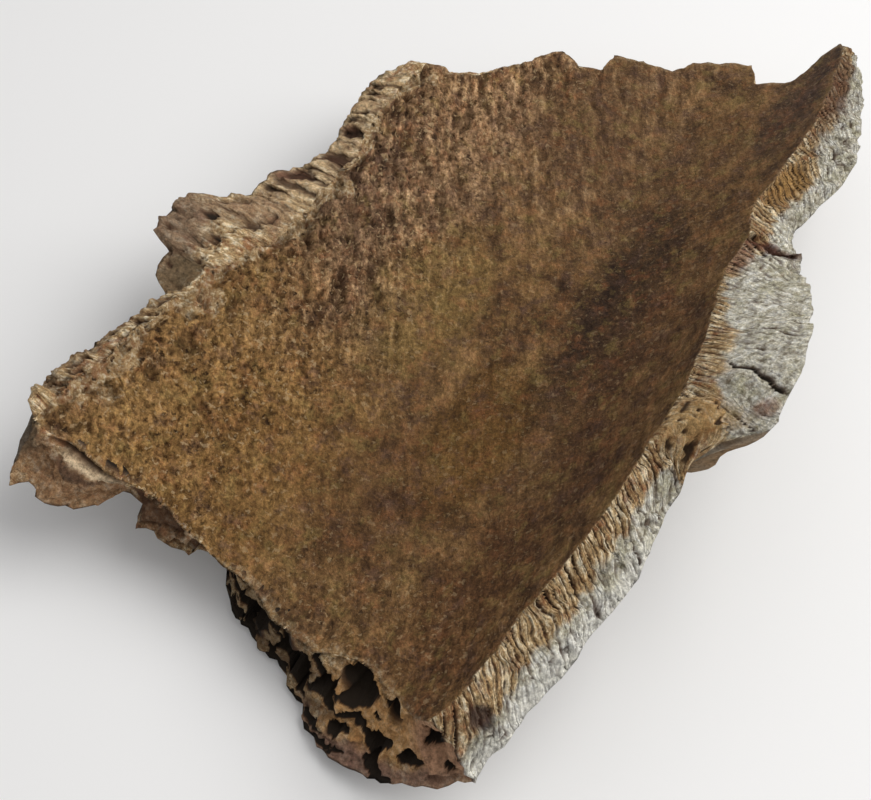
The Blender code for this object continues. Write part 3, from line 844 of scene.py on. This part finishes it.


# %% [markdown]
# ### The inner skin
#
# The inner face is the layer where the bark parted from the living wood. It dried to a matt brown film,
# mottled by old sap: patches of 20 mm, with fibres 6 mm wide lying slantwise over them. Its cells tore
# unevenly, which leaves pits of one to three millimetres, dark with painted shade, and pale crumbs
# between them, most of all on the left. The eye sees a rough, almost furry brown that is nowhere the same.

# %% Inner skin
def inner_skin(material):
    where = add(material, PLACE, out="Object")
    coarse = add(material, READ, out="Fac", attribute_name="coarse")
    fibrous = add(material, READ, out="Fac", attribute_name="fibrous")
    fibres = add(material, READ, out="Vector", attribute_name="fibres")

    mottle = add(material, NOISE, {"Vector": where, "Scale": 1000 / 20, "Detail": 10, "Roughness": 0.74})
    colour = add(material, RAMP, {"Fac": mottle}, stops=(
        (0.30, "28180b"), (0.42, "4c341d"), (0.50, "654a2a"), (0.58, "7c5f38"), (0.70, "a18559"),
    ))
    # Fibres: 6 mm wide and 21 mm long. Few octaves keep their fine detail from being stretched too.
    along_fibres = add(material, STRETCH, {"Vector": fibres, "Scale": (1 / 6, 1 / 21, 1 / 8)})
    strand = add(material, NOISE, {"Vector": along_fibres, "Scale": 1.0, "Detail": 3, "Roughness": 0.70})
    strand_colour = add(material, RAMP, {"Fac": strand}, stops=(
        (0.34, "3b281b"), (0.44, "634a33"), (0.53, "84674a"), (0.62, "a5855f"), (0.70, "ba9c76"),
    ))
    covered = add(material, RANGE, {"Value": fibrous, "To Min": 0.10, "To Max": 0.75})
    colour = add(material, MIX, {"Factor": covered, 6: colour, 7: strand_colour}, **LAYER)
    colour = lay_stains_and_painted_light(material, colour, 0.8)
    red = (10, 7, 0.75, 0.50, 0.64, 0.55, "6f4227")
    olive = (13, 6, 0.72, 0.54, 0.64, 0.5, "776338")
    mauve = (13, 6, 0.72, 0.46, 0.36, 0.5, "574034")
    colour = lay_patches(material, colour, where, (red, olive, mauve))

    # Streaks, flakes of 4 mm and grains of 1.5 mm make the brown lighter and darker. Where a flake is
    # darker it is also a fuller brown, and where it is lighter it is paler.
    FULLER, PALER = (0.38, 0.31, 0.20, 1.0), (2.25, 2.35, 2.55, 1.0)
    contrast = add(material, RANGE, {"Value": coarse, "From Min": 0.3, "To Min": 0.35})
    colour = shade(material, colour, strand, 0.36, 0.86, 1.26)
    flake_place = add(material, STRETCH, {"Vector": fibres, "Scale": (1 / 3.4, 1 / 4.4, 1 / 4)})
    flakes = add(material, NOISE, {"Vector": flake_place, "Scale": 1.0, "Detail": 6, "Roughness": 0.75})
    lighter = add(material, RANGE, {"Value": flakes, "From Min": 0.38, "From Max": 0.64})
    lighter = add(material, MIX, {"Factor": lighter, 6: FULLER, 7: PALER}, **LAYER)
    flaked = add(material, MIX, {"Factor": 1.0, 6: colour, 7: lighter}, **TIMES)
    colour = add(material, MIX, {"Factor": contrast, 6: colour, 7: flaked}, **LAYER)
    grain = add(material, NOISE, {"Vector": where, "Scale": 1000 / 1.5, "Detail": 4, "Roughness": 0.75})
    colour = shade(material, colour, grain, 0.34, 0.65, 1.45)

    tan, streak = torn_tan(material, where, fibres)
    bare = add(material, READ, out="Fac", attribute_name="bare")
    bare = add(material, RANGE, {"Value": bare, "From Min": 0.2, "From Max": 0.9, "To Max": 0.75})
    colour = add(material, MIX, {"Factor": bare, 6: colour, 7: tan}, **LAYER)
    # Painted shade in the dents, creases, holes and hollows.
    painted_dent_shade = add(material, READ, out="Fac", attribute_name="painted_dent_shade")
    dark = add(material, RANGE, {"Value": painted_dent_shade, "From Min": 0.15, "From Max": 0.9, "To Max": 0.58})
    colour = add(material, MIX, {"Factor": dark, 6: colour, 7: linear("352110")}, **LAYER)

    # Pits of painted shade lie about 5 mm apart. Noise of 3 mm pulls each of them out of the round.
    pull = add(material, NOISE, {"Vector": where, "Scale": 1000 / 3, "Detail": 4}, out="Color")
    pulled = add(material, VECTOR, {0: pull, 1: (0.005, 0.005, 0.005), 2: where}, operation="MULTIPLY_ADD")
    pits = add(material, CELLS, {"Vector": pulled, "Scale": 1000 / 5})
    shaded_pits = add(material, RANGE, {"Value": pits, "From Min": 0.30, "From Max": 0.14, "To Max": 0.9})
    amount = add(material, RANGE, {"Value": mottle, "From Min": 0.60, "From Max": 0.42, "To Min": 0.15})
    shaded_pits = add(material, MIX, {"Factor": 1.0, 6: shaded_pits, 7: amount}, **TIMES)
    shaded_pits = add(material, MIX, {"Factor": 1.0, 6: shaded_pits, 7: contrast}, **TIMES)
    colour = add(material, MIX, {"Factor": shaded_pits, 6: colour, 7: linear("2a180a")}, **LAYER)
    crumbs = add(material, NOISE, {"Vector": pulled, "Scale": 1000 / 3.0, "Detail": 2})
    crumbs = add(material, RANGE, {"Value": crumbs, "From Min": 0.61, "From Max": 0.68, "To Max": 0.65})
    crumbs = add(material, MIX, {"Factor": 1.0, 6: crumbs, 7: contrast}, **TIMES)
    colour = add(material, MIX, {"Factor": crumbs, 6: colour, 7: linear("c3a67c")}, **LAYER)

    relief = add(material, MIX, {"Factor": 0.5, 6: flakes, 7: strand}, **LAYER)
    relief = add(material, MIX, {"Factor": 0.25, 6: relief, 7: grain}, **LAYER)
    relief = add(material, MIX, {"Factor": shaded_pits, 6: relief, 7: (0.2, 0.2, 0.2, 1.0)}, **LAYER)
    return colour, add(material, BUMP, {"Height": relief, "Strength": 1.0, "Distance": 0.0045})


# %% [markdown]
# ### Outer crust
#
# The outside of the bark has stood in rain and sun. Its plates are rough and grey with a little lichen,
# and it is browner down in the fissures, where it stayed sheltered; the darkness there and in the cracks
# is painted shade. The plates' patches are 17 mm wide and their grain is 3 mm.

# %% Outer crust
def outer_crust(material):
    where = add(material, PLACE, out="Object")
    plates = add(material, NOISE, {"Vector": where, "Scale": 1000 / 17, "Detail": 10, "Roughness": 0.74})
    colour = add(material, RAMP, {"Fac": plates}, stops=(
        (0.32, "5b5348"), (0.45, "8f8778"), (0.56, "b5ad9b"), (0.70, "d9d3c3"),
    ))
    # Browner colour and painted shade in the fissures and cracks.
    fissure_colour_and_shade = add(material, READ, out="Fac", attribute_name="fissure_colour_and_shade")
    colour = add(material, MIX, {"Factor": fissure_colour_and_shade, 6: colour, 7: linear("4a3523")}, **LAYER)
    colour = lay_stains_and_painted_light(material, colour)
    grain = add(material, NOISE, {"Vector": where, "Scale": 1000 / 3, "Detail": 6, "Roughness": 0.78})
    colour = shade(material, colour, grain, 0.34, 0.5, 1.5)
    relief = add(material, MIX, {"Factor": 0.4, 6: plates, 7: grain}, **LAYER)
    return colour, add(material, BUMP, {"Height": relief, "Strength": 1.0, "Distance": 0.004})


# %% Which face has which material
dry_matt("dry_inner_bark_skin", 0.80, inner_skin)
dry_matt("torn_cork", 0.85, torn_cork)
dry_matt("weathered_outer_crust", 0.90, outer_crust)
of_face = np.empty(len(bark.data.polygons), dtype=np.int32)
for face in bark.data.polygons:
    around = list(face.vertices)
    of_face[face.index] = 0 if ON_SKIN[around].all() else 2 if ON_BACK[around].all() else 1
bark.data.polygons.foreach_set("material_index", of_face)
bark.data.update()
print("faces of skin, cork and crust:", np.bincount(of_face))

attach(bark, "root")
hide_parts("cork_bark")

# %% [markdown]
# ## The studio
#
# A plain pale floor, a large soft light from the right and behind, and a pale room around.

# %% Floor
bpy.ops.object.select_all(action="DESELECT")
bpy.ops.mesh.primitive_plane_add(size=8.0, location=(0, 0, 0))
floor = bpy.context.object
floor.name = "floor"
pale = bpy.data.materials.new("pale_floor")
pale.use_nodes = True
pale.node_tree.nodes["Principled BSDF"].inputs["Base Color"].default_value = linear("f4f3f1")
pale.node_tree.nodes["Principled BSDF"].inputs["Roughness"].default_value = 0.9
floor.data.materials.append(pale)


# %% Lights
LIGHT_PLACE, LIGHT_AIM = Vector((1.05, 0.7, 1.55)), Vector((0.0, 0.0, 0.05))
LIGHT_SIZE, LIGHT_WATTS = 1.8, 34
bpy.ops.object.light_add(type="AREA", location=LIGHT_PLACE)
window = bpy.context.object
window.name = "window"
window.data.size, window.data.energy = LIGHT_SIZE, LIGHT_WATTS
window.rotation_euler = (LIGHT_AIM - LIGHT_PLACE).to_track_quat("-Z", "Y").to_euler()
room = bpy.data.worlds.new("pale_room")
room.use_nodes = True
room.node_tree.nodes["Background"].inputs["Color"].default_value = linear("f6f6f8")
room.node_tree.nodes["Background"].inputs["Strength"].default_value = 0.5
bpy.context.scene.world = room
bpy.context.scene.view_settings.view_transform = "Standard"

# %% [markdown]
# ## The camera
#
# The camera looks down at 55 degrees from the near end, turned 30 degrees to the right, from 0.75 m,
# and is rolled by one degree.

# %% Camera
AZIMUTH, ELEVATION, ROLL, DISTANCE = 29.93, 54.77, -1.14, 0.75
AIM = Vector((0.0110, -0.0813, 0.0521))
turned = Matrix.Rotation(math.radians(AZIMUTH), 4, "Z")
tilted = turned @ Matrix.Rotation(math.radians(90 - ELEVATION), 4, "X")
rolled = tilted @ Matrix.Rotation(math.radians(ROLL), 4, "Z")
bpy.ops.object.camera_add()
camera = bpy.context.object
camera.matrix_world = Matrix.Translation(AIM) @ rolled @ Matrix.Translation((0, 0, DISTANCE))
camera.data.sensor_width = 36.0
camera.data.lens = 60.45
bpy.context.scene.camera = camera
